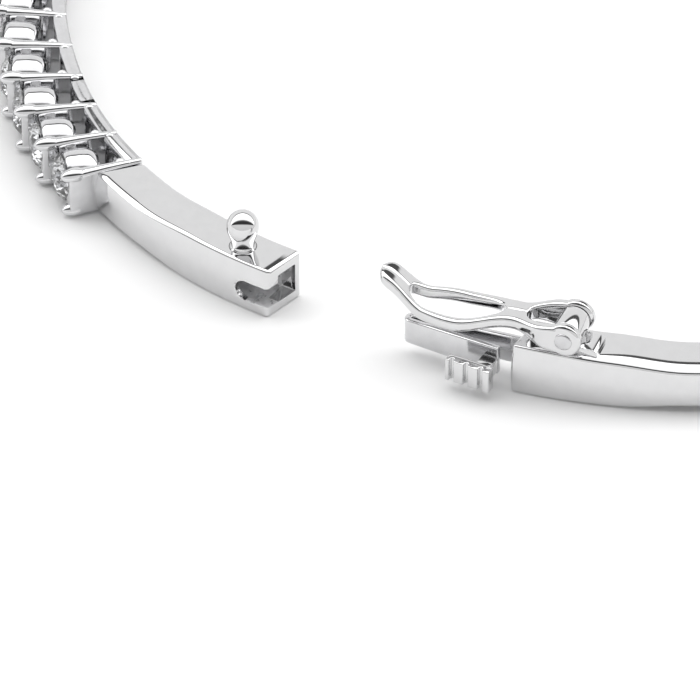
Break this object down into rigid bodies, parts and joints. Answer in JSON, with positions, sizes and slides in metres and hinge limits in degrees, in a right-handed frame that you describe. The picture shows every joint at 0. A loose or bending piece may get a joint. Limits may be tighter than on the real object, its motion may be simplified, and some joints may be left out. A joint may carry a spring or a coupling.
{
  "type": "bangle bracelet",
  "caption": "Hinged oval bangle with a row of round stones on its front half, a plain back half, a box clasp with a spring tongue and a swinging safety lever.",
  "frame": {"origin": "centre of the closed oval, on the plane that the bangle lies on", "axes": "+Z along the bangle's axis, the way the safety lever stands; the clasp is at -X and the hinge at +X; the plain back half lies towards -Y and the stone-set front half towards +Y"},
  "size_m": [0.0648, 0.0617, 0.0044],
  "materials": {
    "polished_metal": "mirror-polished rhodium-white precious metal",
    "spring_strip": "rolled strip, fine lengthwise polish",
    "pin_wire": "drawn wire, filed flush",
    "stone": "clear faceted stone"
  },
  "bodies": {
    "back_half": {"back_band": "polished_metal", "tongue_base": "spring_strip", "safety_lug": "polished_metal", "hinge_leaf_back": "polished_metal", "hinge_pin": "pin_wire"},
    "front_half": {"box_arm": "polished_metal", "box_stud": "polished_metal", "front_gallery": "polished_metal", "hinge_arm": "polished_metal", "hinge_leaf_front": "polished_metal", "stone_01": "stone", "stone_02": "stone", "stone_03": "stone", "stone_04": "stone", "stone_05": "stone", "stone_06": "stone", "stone_07": "stone", "stone_08": "stone", "stone_09": "stone", "stone_10": "stone", "stone_11": "stone", "stone_12": "stone", "stone_13": "stone", "stone_14": "stone", "stone_15": "stone", "stone_16": "stone", "stone_17": "stone", "stone_18": "stone", "stone_19": "stone", "stone_20": "stone", "stone_21": "stone", "stone_22": "stone", "stone_23": "stone", "stone_24": "stone", "stone_25": "stone", "stone_26": "stone", "stone_27": "stone"},
    "tongue_spring": {"tongue_spring_leaf": "spring_strip", "thumb_pad": "polished_metal"},
    "safety_catch": {"safety_lever": "polished_metal", "safety_pin": "pin_wire"}
  },
  "joints": [
    {"name": "bangle_hinge", "type": "hinge", "parent": "back_half", "child": "front_half", "pos_m": [0.03012, 0, 0.00125], "axis": [0, 0, -1], "range_deg": [-11, 44]},
    {"name": "tongue_press", "type": "hinge", "parent": "back_half", "child": "tongue_spring", "pos_m": [-0.02997, 0.00495, 0.00125], "axis": [0, 0, 1], "range_deg": [0, 5], "stiffness_Nm_per_rad": 0.01},
    {"name": "safety_swing", "type": "hinge", "parent": "back_half", "child": "safety_catch", "pos_m": [-0.02999, -0.0024, 0.00333], "axis": [1, 0, 0], "range_deg": [0, 110]}
  ]
}
